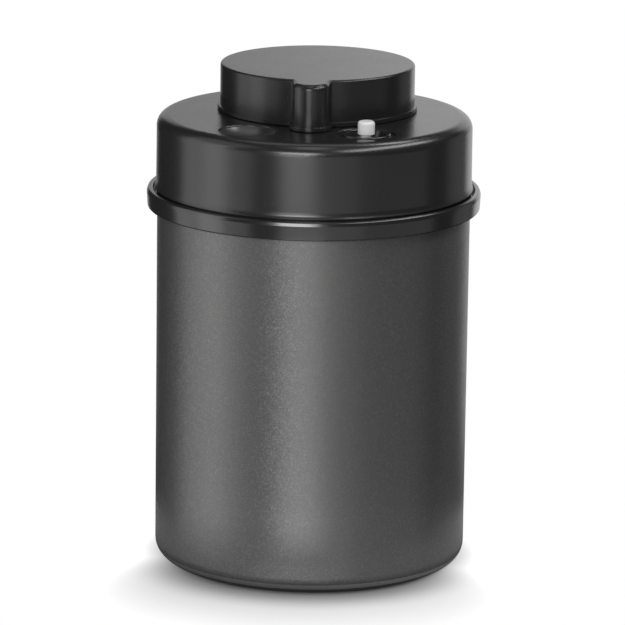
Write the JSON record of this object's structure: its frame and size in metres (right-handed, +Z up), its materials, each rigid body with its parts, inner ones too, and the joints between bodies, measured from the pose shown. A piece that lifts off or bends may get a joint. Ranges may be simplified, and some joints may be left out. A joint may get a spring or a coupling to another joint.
{
  "type": "vacuum seal canister",
  "caption": "Round steel vacuum canister with a plug-in lid whose nosed knob turns to drive a hidden piston pump, beside a press button that lets air in and a pop-up vacuum peg.",
  "frame": {"origin": "centre of the standing ring, on the floor", "axes": "+Z up along the canister's axis, -Y towards the front, between the button and the peg, so +X is the peg's side"},
  "size_m": [0.128, 0.128, 0.1918],
  "materials": {
    "anthracite_enamel": "satin anthracite with fine metal flake",
    "black_plastic": "satin gloss",
    "grey_plastic": "matte",
    "slip_plastic": "waxy",
    "white_plastic": "satin",
    "silicone": "soft matte",
    "steel": "bright",
    "felt": "felted"
  },
  "bodies": {
    "canister": {"canister_shell": "anthracite_enamel", "collar_ring": "black_plastic", "rim_seal": "silicone"},
    "lid": {"lid_cover": "black_plastic", "lid_base": "grey_plastic", "lid_gasket": "silicone", "base_screws": "steel", "pump_cylinder": "grey_plastic", "cylinder_seal": "silicone", "cylinder_screws": "steel", "inlet_valve": "silicone", "filter_disc": "felt", "filter_cap": "grey_plastic", "guide_tube": "grey_plastic", "thrust_washer": "slip_plastic", "release_spring": "steel", "indicator_cup": "black_plastic", "indicator_spring": "steel", "indicator_diaphragm": "silicone", "diaphragm_ring": "grey_plastic"},
    "knob": {"knob_shell": "black_plastic", "cam_drum": "slip_plastic", "drum_circlip": "steel"},
    "pump_rod": {"piston": "grey_plastic", "piston_seal": "silicone", "outlet_flap": "silicone", "follower_pin": "steel"},
    "release": {"release_button": "black_plastic", "release_seal": "silicone", "release_clip": "steel"},
    "indicator": {"indicator_pin": "white_plastic"}
  },
  "joints": [
    {"name": "lid_lift", "type": "slide", "parent": "canister", "child": "lid", "axis": [0, 0, 1], "range_m": [0, 0.12]},
    {"name": "knob_turn", "type": "hinge", "parent": "lid", "child": "knob", "pos_m": [0, 0.01135, 0.18], "axis": [0, 0, 1], "range_deg": [-120, 0]},
    {"name": "piston_stroke", "type": "slide", "parent": "lid", "child": "pump_rod", "axis": [0, 0, 1], "range_m": [0, 0.0055]},
    {"name": "release_press", "type": "slide", "parent": "lid", "child": "release", "axis": [0, 0, -1], "range_m": [0, 0.002], "stiffness_N_per_m": 600, "deforming": ["release_spring"]},
    {"name": "indicator_drop", "type": "slide", "parent": "lid", "child": "indicator", "axis": [0, 0, -1], "range_m": [0, 0.005], "stiffness_N_per_m": 100, "deforming": ["indicator_spring", "indicator_diaphragm"]}
  ],
  "couplings": [
    {"joint": "piston_stroke", "follows": "knob_turn", "m_per_rad": -0.0026261}
  ]
}
